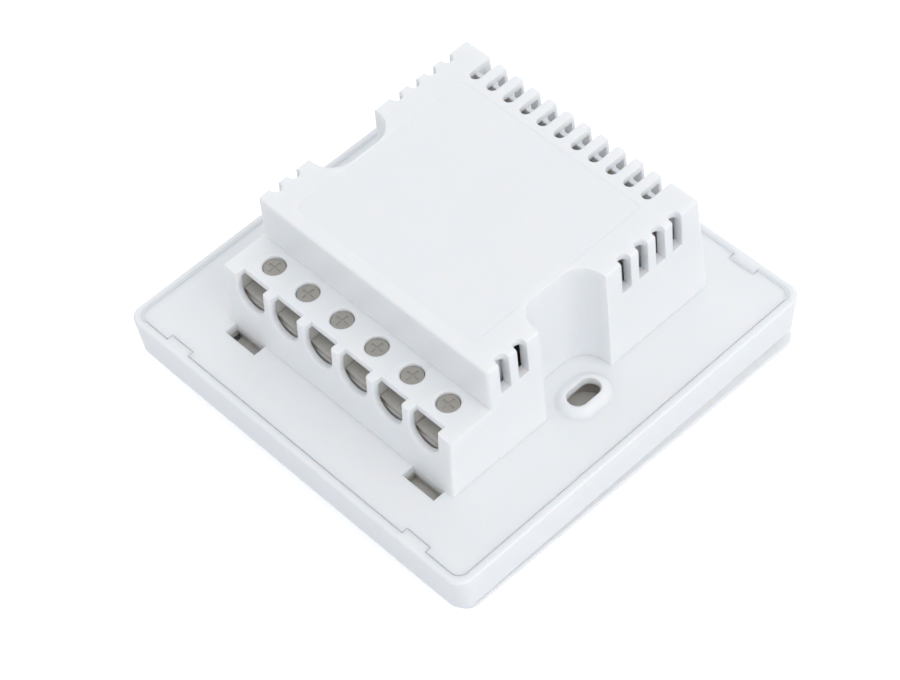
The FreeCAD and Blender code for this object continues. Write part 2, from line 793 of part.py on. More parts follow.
def button_plunger(x):
    return post(plunger_r, x, button_y, z_plunger, z_button + plunger_buried)


led_size = 1.6
led_height = 0.35
radio_window_x = 10.5
radio_window_y = 14.0
radio_half_x = 9.0
radio_half_y = 12.5
radio_board = 0.8
radio_shield_half_x = 7.8
radio_shield_y_low = -11.6
radio_shield_y_high = 5.0
radio_shield_height = 2.2
chip_size = 6.0
chip_height = 1.0
chip_x = -12.0
chip_y = -14.0


def indicator_leds():
    half = led_size / 2.0
    return Part.makeCompound([box(key_x[n] - half, key_x[n] + half, lens_y - half, lens_y + half,
                                  z_control - led_height, z_control) for n in key_names])


def radio_board_part():
    return box(-radio_half_x, radio_half_x, -radio_half_y, radio_half_y,
               z_control - radio_board, z_control)


def radio_shield():
    z1 = z_control - radio_board
    return rounded_prism(-radio_shield_half_x, radio_shield_half_x, radio_shield_y_low,
                         radio_shield_y_high, z1 - radio_shield_height, z1, key_edge_r)


def controller_chip():
    half = chip_size / 2.0
    return box(chip_x - half, chip_x + half, chip_y - half, chip_y + half, z_control_back,
               z_control_back + chip_height)


def link_pins():
    half = link_pin / 2.0
    return Part.makeCompound([box(x - half, x + half, link_y - half, link_y + half,
                                  z_control - link_proud, z_power_back + link_proud)
                              for x in link_x])


def link_spacer():
    start = link_x[0] - link_pitch / 2.0
    end = link_x[-1] + link_pitch / 2.0
    body = box(start, end, link_y - link_bar / 2.0, link_y + link_bar / 2.0,
               z_control_back, z_power)
    half = link_pin / 2.0 + RUNNING_GAP
    return cut(body, [box(x - half, x + half, link_y - half, link_y + half, z_control_back - 1.0,
                          z_power + 1.0) for x in link_x])


# Power board and what it carries

def power_board():
    body = rounded_prism(-power_half_x, power_half_x, power_y_low, power_y_high, z_power,
                         z_power_back, block_corner_r)
    tools = []
    for side in (-1, 1):
        a, b = side * power_notch_x, side * (power_half_x + 1.0)
        tools.append(box(min(a, b), max(a, b), -power_notch_y, power_notch_y, z_power - 1.0,
                         z_power_back + 1.0))
        for y in post_y:
            tools.append(post(board_screw_r + RUNNING_GAP, side * post_x, y, z_power - 1.0,
                              z_power_back + 1.0))
    for x in link_x:
        half = link_pin / 2.0 + RUNNING_GAP
        tools.append(box(x - half, x + half, link_y - half, link_y + half, z_power - 1.0,
                         z_power_back + 1.0))
    for x in pole_x:
        x0, x1, y0, y1 = terminal_tail(x, RUNNING_GAP)
        tools.append(box(x0, x1, y0, y1, z_power - 1.0, z_power_back + 1.0))
    return cut(body, tools)


def power_board_screws():
    screws = []
    for sx in (-1, 1):
        for y in post_y:
            x = sx * post_x
            screws.append(fuse([post(board_screw_r, x, y, z_power,
                                     z_power_back + board_screw_length - SEAT_GAP),
                                post(board_screw_head_r, x, y, z_power - board_screw_head,
                                     z_power)]))
    return Part.makeCompound(screws)


part_gap = 1.2              # between neighbours on the power board
relay_gap = 2.0             # between the two relays
relay_wall_gap = 0.6        # relays to the main block's inner wall
relay_length = 19.2
relay_width = 10.2
relay_height = 15.4
relay_x = (relay_length + relay_gap) / 2.0
relay_y = main_y_low + housing_wall + relay_wall_gap + relay_width / 2.0
row_y = relay_y + relay_width / 2.0 + part_gap


def relay(side):
    x = side * relay_x
    return rounded_prism(x - relay_length / 2.0, x + relay_length / 2.0,
                         relay_y - relay_width / 2.0, relay_y + relay_width / 2.0,
                         z_power_back, z_power_back + relay_height, key_gap)


coil_x = -9.5
core_length = 14.0
core_width = 6.0
core_height = 13.0
core_leg = 3.0
bobbin_flange = 1.0
bobbin_width = 9.6
bobbin_wall = 0.6
bobbin_feet = 1.0
coil_y = row_y + bobbin_width / 2.0


def transformer_core():
    x, y = coil_x, coil_y
    z0 = z_power_back + bobbin_feet
    body = box(x - core_length / 2.0, x + core_length / 2.0, y - core_width / 2.0,
               y + core_width / 2.0, z0, z0 + core_height)
    inner0 = z0 + core_leg
    inner1 = z0 + core_height - core_leg
    windows = []
    for side in (-1, 1):
        a = x + side * core_leg / 1.5
        b = x + side * (core_length / 2.0 - core_leg / 1.5)
        windows.append(box(min(a, b), max(a, b), y - core_width, y + core_width, inner0, inner1))
    return cut(body, windows)


def coil_limits():
    z0 = z_power_back + bobbin_feet + core_leg + SEAT_GAP
    z1 = z_power_back + bobbin_feet + core_height - core_leg - SEAT_GAP
    reach = core_length / 2.0 - core_leg / 1.5 - SEAT_GAP
    inner = core_leg / 1.5 + SEAT_GAP
    return z0, z1, reach, inner


def transformer_bobbin():
    z0, z1, reach, inner = coil_limits()
    x, y = coil_x, coil_y
    half_y = bobbin_width / 2.0
    flanges = [box(x - reach, x + reach, y - half_y, y + half_y, z0, z0 + bobbin_flange),
               box(x - reach, x + reach, y - half_y, y + half_y, z1 - bobbin_flange, z1)]
    hub = box(x - inner - bobbin_wall, x + inner + bobbin_wall,
              y - core_width / 2.0 - SEAT_GAP - bobbin_wall,
              y + core_width / 2.0 + SEAT_GAP + bobbin_wall, z0, z1)
    feet = [box(x - reach, x + reach, y + side * (core_width / 2.0 + SEAT_GAP)
                - (bobbin_flange if side < 0 else 0.0),
                y + side * (core_width / 2.0 + SEAT_GAP) + (bobbin_flange if side > 0 else 0.0),
                z_power_back, z0) for side in (-1, 1)]
    bore = box(x - inner, x + inner, y - core_width / 2.0 - SEAT_GAP,
               y + core_width / 2.0 + SEAT_GAP, z0 - 1.0, z1 + 1.0)
    return cut(fuse(flanges + [hub] + feet), [bore])


def transformer_winding():
    z0, z1, reach, inner = coil_limits()
    x, y = coil_x, coil_y
    half_y = bobbin_width / 2.0 - bobbin_wall
    hub_x = inner + bobbin_wall
    hub_y = core_width / 2.0 + SEAT_GAP + bobbin_wall
    out_x = reach - bobbin_wall
    outer = rounded_prism(x - out_x, x + out_x, y - half_y, y + half_y, z0 + bobbin_flange,
                          z1 - bobbin_flange, key_gap)
    return outer.cut(box(x - hub_x, x + hub_x, y - hub_y, y + hub_y, z0, z1))


can_crimp = 0.3
can_groove = 0.8
can_groove_height = 1.6
input_can_r = 4.0
input_can_height = 13.0
output_can_r = 3.2
output_can_height = 11.0
film_length = 10.2
film_width = 5.0
film_height = 11.0
film_x = 14.5
film_y = row_y + film_width / 2.0
varistor_r = 4.6
varistor_thickness = 3.6
varistor_y = film_y + film_width / 2.0 + part_gap + varistor_thickness / 2.0
fuse_r = 1.7
fuse_length = 10.0
fuse_y = varistor_y + varistor_thickness / 2.0 + part_gap + fuse_r
choke_r = 3.6
choke_height = 9.0
choke_y = fuse_y + fuse_r + part_gap + choke_r
input_can_x = 3.8
input_can_y = row_y + part_gap + input_can_r
rectifier_length = 4.8
rectifier_width = 4.0
rectifier_height = 2.2
rectifier_y = input_can_y + input_can_r + part_gap + rectifier_width / 2.0
power_chip_length = 5.0
power_chip_width = 4.0
power_chip_height = 1.5
power_chip_y = rectifier_y + (rectifier_width + power_chip_width) / 2.0 + part_gap
output_can_y = coil_y + bobbin_width / 2.0 + part_gap + output_can_r


def can(x, y, r, height):
    """Upright electrolytic can with its crimp groove near the board."""
    z = z_power_back
    low = z + can_groove_height
    high = low + can_groove
    body = fuse([post(r, x, y, z, low), post(r - can_crimp, x, y, low, high),
                 post(r, x, y, high, z + height)])
    return body


def disc_part(x, y, r, thickness):
    """Upright disc on the board, thick along Y."""
    z = z_power_back + r
    return bar_y(r, x, y - thickness / 2.0, y + thickness / 2.0, z)


def on_board(x, y, length, width, height):
    """Moulded box that stands on the power board."""
    return rounded_prism(x - length / 2.0, x + length / 2.0, y - width / 2.0, y + width / 2.0,
                         z_power_back, z_power_back + height, key_gap)


parts = {
    "front_frame": front_frame, "rear_housing": rear_housing, "light_guides": light_guides,
    "control_board": control_board, "control_board_screws": control_board_screws,
    "indicator_leds": indicator_leds, "radio_board": radio_board_part,
    "radio_shield": radio_shield, "controller_chip": controller_chip,
    "link_pins": link_pins, "link_spacer": link_spacer, "power_board": power_board,
    "power_board_screws": power_board_screws,
    "relay_open": lambda: relay(-1), "relay_close": lambda: relay(1),
    "transformer_core": transformer_core, "transformer_bobbin": transformer_bobbin,
    "transformer_winding": transformer_winding,
    "input_capacitor": lambda: can(input_can_x, input_can_y, input_can_r, input_can_height),
    "output_capacitor": lambda: can(coil_x, output_can_y, output_can_r, output_can_height),
    "safety_capacitor": lambda: on_board(film_x, film_y, film_length, film_width, film_height),
    "varistor": lambda: disc_part(film_x, varistor_y, varistor_r, varistor_thickness),
    "fuse": lambda: bar_x(fuse_r, film_x - fuse_length / 2.0, film_x + fuse_length / 2.0,
                          fuse_y, z_power_back + fuse_r),
    "filter_choke": lambda: post(choke_r, film_x, choke_y, z_power_back,
                                 z_power_back + choke_height),
    "rectifier": lambda: on_board(input_can_x, rectifier_y, rectifier_length,
                                  rectifier_width, rectifier_height),
    "power_chip": lambda: on_board(input_can_x, power_chip_y, power_chip_length,
                                   power_chip_width, power_chip_height),
}


# Terminals

def terminal_tail(x, gap):
    half = contact_tail / 2.0 + gap
    y1 = terminal_body_y_high - terminal_rear_wall - RUNNING_GAP
    return x - half, x + half, y1 - contact_tail - gap, y1 + gap


def terminal_block():
    end = pole_x[-1] + pole_half_x + terminal_end_wall
    z_top = z_terminal_roof - SLIDE_GAP
    rear = terminal_body_y_high - terminal_rear_wall
    body = rounded_prism(-end, end, terminal_body_y_low, terminal_body_y_high, z_power_back,
                         z_top, (block_corner_r, block_corner_r, 0, 0))
    z_well = z_contact_top - screw_engage - clamp_close - SLIDE_GAP
    tools = []
    for x in pole_x:
        h = pole_half_x
        tools.append(box(x - h, x + h, terminal_body_y_low - 1.0, rear, z_contact, z_top + 1.0))
        tools.append(post(screw_r + SLIDE_GAP, x, screw_y, z_well, z_contact + 1.0))
        x0, x1, y0, y1 = terminal_tail(x, RUNNING_GAP)
        tools.append(box(x0, x1, y0, y1, z_power_back - 1.0, z_contact + 1.0))
    return cut(body, tools)


def terminal_contacts():
    contacts = []
    rear = terminal_body_y_high - terminal_rear_wall - RUNNING_GAP
    for x in pole_x:
        h = contact_half_x
        strip = box(x - h, x + h, terminal_body_y_low + contact_setback, rear, z_contact,
                    z_contact_top)
        x0, x1, y0, y1 = terminal_tail(x, 0.0)
        tail = box(x0, x1, y0, y1, z_power - contact_tail_below, z_contact)
        contacts.append(cut(fuse([strip, tail]), [post(screw_r + RUNNING_GAP, x, screw_y,
                                                       z_contact - 1.0, z_contact_top + 1.0)]))
    return Part.makeCompound(contacts)


def clamp_plate(x):
    h = clamp_half_x
    body = box(x - h, x + h, screw_y - clamp_reach, screw_y + clamp_reach, z_clamp, z_clamp_top)
    return body.cut(post(screw_r + RUNNING_GAP, x, screw_y, z_clamp - 1.0, z_clamp_top + 1.0))


def terminal_screw(x):
    top = z_head + screw_head_height
    body = fuse([post(screw_head_r, x, screw_y, z_head, top),
                 post(screw_r, x, screw_y, z_contact_top - screw_engage, z_head)])
    s = screw_slot / 2.0
    bar = screw_head_r - screw_slot_margin
    floor = top - screw_slot_depth
    return cut(body, [box(x - bar, x + bar, screw_y - s, screw_y + s, floor, top + 1.0),
                      box(x - s, x + s, screw_y - bar, screw_y + bar, floor, top + 1.0)])


parts["terminal_block"] = terminal_block
parts["terminal_contacts"] = terminal_contacts
for number, place in enumerate(pole_x, start=1):
    parts["clamp_plate_%d" % number] = lambda x=place: clamp_plate(x)
    parts["terminal_screw_%d" % number] = lambda x=place: terminal_screw(x)
for key_name in key_names:
    parts["key_" + key_name] = lambda n=key_name: key(n)
    parts["key_lens_" + key_name] = lambda n=key_name: key_lens(n)
    parts["button_body_" + key_name] = lambda n=key_name: button_body(key_x[n])
    parts["button_plunger_" + key_name] = lambda n=key_name: button_plunger(key_x[n])

print("a clamp plate goes down %.2f mm and up %.2f mm" % (clamp_close, clamp_lift))
os.makedirs("parts", exist_ok=True)
for node, make in parts.items():
    shape = make()
    solids = shape.Solids
    bounds = shape.BoundBox
    shape.exportStep(os.path.join("parts", node + ".step"))
    print("%-24s solids %d valid %s volume %9.2f mm3 z %.2f to %.2f"
          % (node, len(solids), shape.isValid(), shape.Volume, bounds.ZMin, bounds.ZMax))
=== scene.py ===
# %% [markdown]
# A smart curtain switch, seen from behind
#
# The switch lies on its keys with the terminals towards -Y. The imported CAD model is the
# fixed frame: its pieces are never moved, they only get better finishes here. A few parts
# that CAD keeps plain, such as wound coils and capacitor cans, are made again as surfaces.

# %% Load the frame
import json
import math

import bpy
import numpy as np
from mathutils import Matrix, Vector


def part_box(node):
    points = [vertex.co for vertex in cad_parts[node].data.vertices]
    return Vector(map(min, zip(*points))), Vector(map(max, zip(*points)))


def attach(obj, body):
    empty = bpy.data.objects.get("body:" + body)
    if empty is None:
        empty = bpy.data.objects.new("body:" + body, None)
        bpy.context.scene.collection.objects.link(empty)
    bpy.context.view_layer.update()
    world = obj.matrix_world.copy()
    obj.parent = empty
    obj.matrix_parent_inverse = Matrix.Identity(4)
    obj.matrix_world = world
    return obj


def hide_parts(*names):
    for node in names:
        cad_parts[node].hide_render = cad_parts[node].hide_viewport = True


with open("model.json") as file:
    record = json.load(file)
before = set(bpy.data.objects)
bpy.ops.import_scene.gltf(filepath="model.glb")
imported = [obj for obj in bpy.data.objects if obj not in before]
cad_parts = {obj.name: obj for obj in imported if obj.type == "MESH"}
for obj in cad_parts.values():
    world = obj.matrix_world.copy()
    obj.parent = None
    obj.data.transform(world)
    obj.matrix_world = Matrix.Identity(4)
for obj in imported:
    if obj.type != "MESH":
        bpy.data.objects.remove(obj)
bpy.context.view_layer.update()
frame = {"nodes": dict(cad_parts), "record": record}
MM = 0.001
scene = bpy.context.scene

# %% [markdown]
# The camera stands where the photograph was taken from. A pinhole camera was fitted to the
# plate's outline and the terminal holes, which gave its direction, its roll and its lens.
# It is turned with a rotation matrix, because azimuth, elevation and roll can then be
# written as they were measured.

# %% Camera
PHOTO_WIDTH_PX = 900
SENSOR_MM = 36.0
azimuth = math.radians(50.83)
elevation = math.radians(51.72)
roll = math.radians(6.41)
focal_px = 2793.7
distance_mm = 507.7
aim_right_mm = 3.0
aim_up_mm = 0.22
aim_height_mm = 3.3


def camera_axes(azimuth, elevation, roll):
    """Right, up and back of a camera.

    Back points from the object to the camera. Right lies level, up is back crossed with
    right, and both are then turned by the roll about back.
    """
    back = np.array([math.sin(azimuth) * math.cos(elevation),
                     -math.cos(azimuth) * math.cos(elevation), math.sin(elevation)])
    level = np.array([math.cos(azimuth), math.sin(azimuth), 0.0])
    upright = np.cross(back, level)
    right = math.cos(roll) * level - math.sin(roll) * upright
    up = math.sin(roll) * level + math.cos(roll) * upright
    return right, up, back


def stand(made, right, up, back, place):
    """Put a camera or lamp in the scene: its axes and its place are its matrix's columns."""
    matrix = np.eye(4)
    matrix[:3] = np.column_stack([right, up, back, place])
    scene.collection.objects.link(made)
    made.matrix_world = Matrix(matrix)
    return made


right, up, back = camera_axes(azimuth, elevation, roll)
place = (back * distance_mm - right * aim_right_mm - up * aim_up_mm
         + np.array([0.0, 0.0, aim_height_mm])) * MM
camera_data = bpy.data.cameras.new("photo_camera")
camera_data.sensor_width = SENSOR_MM
camera_data.lens = focal_px * SENSOR_MM / PHOTO_WIDTH_PX
camera_data.clip_start = 0.01
camera_data.clip_end = 20.0
camera = stand(bpy.data.objects.new("photo_camera", camera_data), right, up, back, place)
scene.camera = camera
print("camera at mm:", np.round(place / MM, 1), "lens", round(camera_data.lens, 1))

# %% [markdown]
# Colours are noted as the sRGB hex values a designer would write. Blender's sockets want
# linear light, so one function converts them. A second small function adds any node with
# its settings and links, which keeps each material short enough to read in one look.

# %% Colour and node helpers


def linear(hex_colour):
    """Linear RGBA of an sRGB hex value: c/12.92 when dark, else ((c + 0.055)/1.055)^2.4."""
    value = hex_colour.lstrip("#")
    srgb = np.array([int(value[i:i + 2], 16) / 255.0 for i in (0, 2, 4)])
    light = np.where(srgb <= 0.04045, srgb / 12.92, ((srgb + 0.055) / 1.055) ** 2.4)
    return (*light.tolist(), 1.0)


def node(tree, kind, settings=None, **links):
    """Add one node. Settings are attributes; links are sockets given a value or an output.

    A socket is given by its name, with _ for each space, or by _ and its number.
    """
    made = tree.nodes.new("ShaderNode" + kind)
    for name, value in (settings or {}).items():
        setattr(made, name, value)
    for name, value in links.items():
        wanted = int(name[1:]) if name[1:].isdigit() else name.replace("_", " ")
        socket = made.inputs[wanted]
        if isinstance(value, bpy.types.NodeSocket):
            tree.links.new(value, socket)
        else:
            socket.default_value = value
    return made


def ramp(tree, factor, stops):
    """Colour output of a ramp with (position, hex colour) stops."""
    made = node(tree, "ValToRGB", Fac=factor)
    elements = made.color_ramp.elements
    while len(elements) < len(stops):
        elements.new(0.5)
    for element, (position, colour) in zip(elements, stops):
        element.position = position
        element.color = linear(colour)
    return made.outputs["Color"]


def new_material(name):
    """Empty node material with its Principled shader, and the tree it lives in."""
    material = bpy.data.materials.new(name)
    material.use_nodes = True
    tree = material.node_tree
    return material, tree, tree.nodes["Principled BSDF"]


print("middle grey #808080 is", round(linear("#808080")[0], 3), "in linear light")

# %% [markdown]
# The floor is the pale sweep of a product photograph. It is lit like everything else, and
# for the camera, for mirrors and for clear plastic it also glows, so that it reads as white
# while the switch still leaves a faint shadow. The world does the same: it is white to the
# camera, and lights the object at a lower level than that.

# %% Floor and world
FLOOR_SIZE = 6.0
FLOOR_GLOW = 0.62
PAPER_GRAINS_PER_M = 900.0


def seen_directly(tree):
    """1 for camera, glossy and transmission rays, and 0 for the rays that carry light."""
    path = node(tree, "LightPath")
    either = node(tree, "Math", {"operation": "MAXIMUM"}, _0=path.outputs["Is Camera Ray"],
                  _1=path.outputs["Is Glossy Ray"])
    return node(tree, "Math", {"operation": "MAXIMUM"}, _0=either.outputs[0],
                _1=path.outputs["Is Transmission Ray"]).outputs[0]


def white_floor():
    """Matte pale paper with an added glow for direct rays."""
    material, tree, paper = new_material("white_paper_sweep")
    grain = node(tree, "TexNoise", Vector=node(tree, "TexCoord").outputs["Object"],
                 Scale=PAPER_GRAINS_PER_M)
    tree.links.new(ramp(tree, grain.outputs["Fac"], ((0.3, "#DBDEE2"), (0.7, "#DEE1E5"))),
                   paper.inputs["Base Color"])
    paper.inputs["Roughness"].default_value = 0.9
    paper.inputs["Specular IOR Level"].default_value = 0.1
    strength = node(tree, "Math", {"operation": "MULTIPLY"}, _0=seen_directly(tree), _1=FLOOR_GLOW)
    glow = node(tree, "Emission", Strength=strength.outputs[0])
    both = node(tree, "AddShader", _0=paper.outputs[0], _1=glow.outputs[0])
    tree.links.new(both.outputs[0], tree.nodes["Material Output"].inputs["Surface"])
    return material


half = FLOOR_SIZE / 2.0
floor_mesh = bpy.data.meshes.new("floor")
floor_mesh.from_pydata([(-half, -half, 0), (half, -half, 0), (half, half, 0), (-half, half, 0)],
                       [], [(0, 1, 2, 3)])
floor = bpy.data.objects.new("floor", floor_mesh)
floor_mesh.materials.append(white_floor())
scene.collection.objects.link(floor)

WORLD_LIGHT = 0.81
world = bpy.data.worlds.new("white_studio")
world.use_nodes = True
scene.world = world
sky = world.node_tree
light = node(sky, "Background", Color=linear("#F9FBFF"), Strength=WORLD_LIGHT)
white = node(sky, "Background", Color=(1, 1, 1, 1), Strength=1.0)
chosen = node(sky, "MixShader", _0=node(sky, "LightPath").outputs["Is Camera Ray"],
              _1=light.outputs[0], _2=white.outputs[0])
sky.links.new(chosen.outputs[0], sky.nodes["World Output"].inputs["Surface"])
scene.view_settings.view_transform = "Standard"
print("floor", FLOOR_SIZE, "m, world light", WORLD_LIGHT)

# %% [markdown]
# The photograph is nearly shadowless: its light comes from all round, and only the +X side
# and the top are a little brighter. So most light is the world's, and one large soft box on
# the +X side adds that direction. A weak one behind keeps the far sides from looking flat.
# Each is set by the light it gives a surface that faces it, where 1 shows a colour as written.

# %% Soft boxes


def soft_box(name, direction, distance, size, level, colour):
    """Square area lamp aimed at the switch.

    At a distance d a lamp of power P gives a facing white surface the brightness
    P / (pi^2 d^2), so the power for a wanted level is level times pi^2 d^2.
    """
    lamp = bpy.data.lights.new(name, "AREA")
    lamp.shape = "SQUARE"
    lamp.size = size
    lamp.energy = level * math.pi * math.pi * distance ** 2
    lamp.color = linear(colour)[:3]
    towards = np.array(direction, float) / np.linalg.norm(direction)
    side = np.cross([0.0, 0.0, 1.0], towards)
    side /= np.linalg.norm(side)
    return stand(bpy.data.objects.new(name, lamp), side, np.cross(towards, side), towards,
                 towards * distance)


soft_box("main_soft_box", (0.78, 0.10, 0.62), 1.2, 1.0, 0.26, "#FFFCF9")
soft_box("rear_soft_box", (-0.62, 0.60, 0.50), 1.4, 1.0, 0.08, "#FFFDFA")

# %% [markdown]
# Nearly all that shows is white ABS, injection moulded in a fine spark-eroded mould. The
# eye gets a satin white with a faint blue cast, soft reflections, and edges that catch a
# thin line of light. Light also goes about a millimetre into it and comes out again beside,
# red a little farther than blue: that is why the insides of its holes look a warm grey and
# its thin gaps never go black. The frame's floor, seen through the slots, lies in shade and
# is painted lighter and creamier than the outside: painted warm light. The texture's bumps
# are drawn at about 0.25 mm, because the real 0.05 mm grain is too fine to show. A Bevel
# node rounds the shading at edges, which a modifier can't do on a CAD mesh of loose triangles.

# %% Moulded white plastic
EDGE_SOFTNESS = 0.16 * MM
FLOW_CLOUD_MM = 18.0
GLOSS_SPREAD = 0.06


def grain_scale(size_mm):
    """Noise scale whose features are about size_mm wide: one lump for each size_mm."""
    return 1.0 / (size_mm * MM)


def moulded(name, colour, shade, roughness, grain_mm, bump, inner=None, **sockets):
    """Moulded plastic: flow-cloud tone, fine mould grain, soft edges.

    An inner colour, where given, is painted warm light: a colour and a reach in millimetres,
    laid where neither x nor y is farther from the middle than that, so the shaded inside reads
    lighter and warmer.
    """
    material, tree, plastic = new_material(name)
    where = node(tree, "TexCoord").outputs["Object"]
    clouds = node(tree, "TexNoise", Vector=where, Scale=grain_scale(FLOW_CLOUD_MM), Detail=2.0)
    grain = node(tree, "TexNoise", Vector=where, Scale=grain_scale(grain_mm), Detail=3.0,
                 Roughness=0.6)
    tone = node(tree, "Mix", {"data_type": "RGBA"}, Factor=clouds.outputs["Fac"])
    tone.inputs[6].default_value = linear(shade)
    tone.inputs[7].default_value = linear(colour)
    # Painted warm light: inside the reach, the shaded inner floor gets a lighter, warmer colour.
    if inner:
        painted_warm_light_colour, reach_mm = inner
        away = node(tree, "VectorMath", {"operation": "ABSOLUTE"}, _0=where)
        off = node(tree, "SeparateXYZ", Vector=away.outputs[0])
        farther = node(tree, "Math", {"operation": "MAXIMUM"}, _0=off.outputs["X"],
                       _1=off.outputs["Y"])
        near = node(tree, "Math", {"operation": "LESS_THAN"}, _0=farther.outputs[0],
                    _1=reach_mm * MM)
        tone = node(tree, "Mix", {"data_type": "RGBA"}, Factor=near.outputs[0], _6=tone.outputs[2])
        tone.inputs[7].default_value = linear(painted_warm_light_colour)
    tree.links.new(tone.outputs[2], plastic.inputs["Base Color"])
    gloss = node(tree, "MapRange", Value=grain.outputs["Fac"])
    gloss.inputs["To Min"].default_value = roughness - GLOSS_SPREAD
    gloss.inputs["To Max"].default_value = roughness + GLOSS_SPREAD
    tree.links.new(gloss.outputs["Result"], plastic.inputs["Roughness"])
    soft = node(tree, "Bevel", {"samples": 6}, Radius=EDGE_SOFTNESS)
    relief = node(tree, "Bump", Strength=1.0, Distance=bump * MM, Height=grain.outputs["Fac"],
                  Normal=soft.outputs[0])
    tree.links.new(relief.outputs[0], plastic.inputs["Normal"])
    for socket, value in sockets.items():
        plastic.inputs[socket.replace("_", " ")].default_value = value
    return material


ABS_IOR = 1.53
SCATTER_MM = 1.2
# Reach of the painted warm light on the frame's shaded inner floor.
PAINTED_WARM_LIGHT_REACH_MM = 39.5
inside_light = {"IOR": ABS_IOR, "Subsurface_Weight": 0.8, "Subsurface_Radius": (1.0, 0.86, 0.76),
                "Subsurface_Scale": SCATTER_MM * MM}
white_abs = moulded("white_abs_satin_moulded", "#F5F7F9", "#F2F4F6", 0.42, 0.25, 0.006,
                    **inside_light)
# The frame's inner floor is painted lighter and creamier: painted warm light in its shade.
frame_abs = moulded("white_abs_frame_moulded", "#F5F7FA", "#F2F4F7", 0.36, 0.25, 0.004,
                    ("#FBF3EA", PAINTED_WARM_LIGHT_REACH_MM), **inside_light)
key_abs = moulded("white_abs_keys_polished", "#F6F7F8", "#F4F5F6", 0.16, 0.6, 0.0015,
                  **inside_light)
white_seam = moulded("white_abs_touching_edges", "#F1F3F5", "#EEF0F3", 0.42, 0.25, 0.004,
                     IOR=ABS_IOR)
print("white plastics made:", white_abs.name, frame_abs.name, key_abs.name, white_seam.name)

# %% [markdown]
# Inside are duller plastics: grey glass-filled polyamide for the terminal block, which has
# to stand heat, black polyamide for bobbins and spacers, and pale polyester relay cases.
# Glass fibre leaves a rough, slightly speckled skin, so these are rougher and more mottled.

# %% Inner plastics
terminal_pa = moulded("grey_glass_filled_polyamide", "#D6D4D0", "#CCCAC5", 0.55, 0.35, 0.012)
black_pa = moulded("black_polyamide_moulded", "#1E1F21", "#191A1B", 0.5, 0.3, 0.008)
relay_case = moulded("pale_polyester_relay_case", "#D5D8DA", "#CDD0D2", 0.32, 0.5, 0.003)
film_case = moulded("grey_film_capacitor_case", "#C4C6C4", "#B9BBB9", 0.45, 0.4, 0.004)
button_nylon = moulded("white_nylon_button", "#E8E6E0", "#E2E0DA", 0.38, 0.3, 0.003)
ceramic = moulded("glazed_ceramic_fuse_body", "#E9E4D8", "#E0DACB", 0.22, 1.2, 0.002)
varistor_skin = moulded("dipped_epoxy_varistor", "#3D6A9E", "#355E8D", 0.3, 1.6, 0.02)
sleeve = moulded("shrunk_pvc_sleeve", "#2B2F38", "#23262E", 0.28, 1.0, 0.004)
print("inner plastics made")

# %% [markdown]
# Metals take their colour from reflection, so they keep Blender's default IOR and only get
# a colour, a roughness and the mark of how they were made. Screws and clamps are zinc
# plated, a soft warm grey with a fine crystal bloom. The contact strips are punched from
# tin-plated rolled brass, a dull light grey with the rolling lines still along it. Their
# level faces are set lighter, painted light against the shade they lie in, and their upright
# cut edges darker: partly the raw edge's duller colour, partly painted shade.

# %% Metals
METAL_EDGE = 0.08 * MM
METAL_SPREAD = 0.08


def metal(name, colour, shade, roughness, stretch, grain_mm, bump, cut_edge_and_painted_shade=None):
    """Metal with a grain stretched along X, Y and Z, and its own colour on cut edges.

    A face is level and a cut edge upright, so the height of the normal tells them apart.
    The cut-edge colour is partly the raw edge's duller tone and partly painted shade, darker
    against the light that upright edges catch.
    """
    material, tree, surface = new_material(name)
    where = node(tree, "TexCoord").outputs["Object"]
    drawn = node(tree, "Mapping", Vector=where, Scale=stretch)
    grain = node(tree, "TexNoise", Vector=drawn.outputs[0], Scale=grain_scale(grain_mm),
                 Detail=4.0, Roughness=0.65)
    tone = node(tree, "Mix", {"data_type": "RGBA"}, Factor=grain.outputs["Fac"])
    tone.inputs[6].default_value = linear(shade)
    tone.inputs[7].default_value = linear(colour)
    # Painted light and shade: upright faces take the darker edge colour, partly the raw cut edge
    # and partly painted shade, while level faces keep the lighter colour.
    if cut_edge_and_painted_shade:
        across = node(tree, "SeparateXYZ", Vector=node(tree, "TexCoord").outputs["Normal"])
        level = node(tree, "Math", {"operation": "ABSOLUTE"}, _0=across.outputs["Z"])
        tone = node(tree, "Mix", {"data_type": "RGBA"}, Factor=level.outputs[0], _7=tone.outputs[2])
        tone.inputs[6].default_value = linear(cut_edge_and_painted_shade)
    tree.links.new(tone.outputs[2], surface.inputs["Base Color"])
    surface.inputs["Metallic"].default_value = 1.0
    gloss = node(tree, "MapRange", Value=grain.outputs["Fac"])
    gloss.inputs["To Min"].default_value = roughness - METAL_SPREAD
    gloss.inputs["To Max"].default_value = roughness + METAL_SPREAD
    tree.links.new(gloss.outputs["Result"], surface.inputs["Roughness"])
    soft = node(tree, "Bevel", {"samples": 6}, Radius=METAL_EDGE)
    relief = node(tree, "Bump", Strength=1.0, Distance=bump * MM, Height=grain.outputs["Fac"],
                  Normal=soft.outputs[0])
    tree.links.new(relief.outputs[0], surface.inputs["Normal"])
    return material


zinc = metal("zinc_plated_steel", "#C3BFB8", "#B3AFA8", 0.6, (1, 1, 1), 0.3, 0.002)
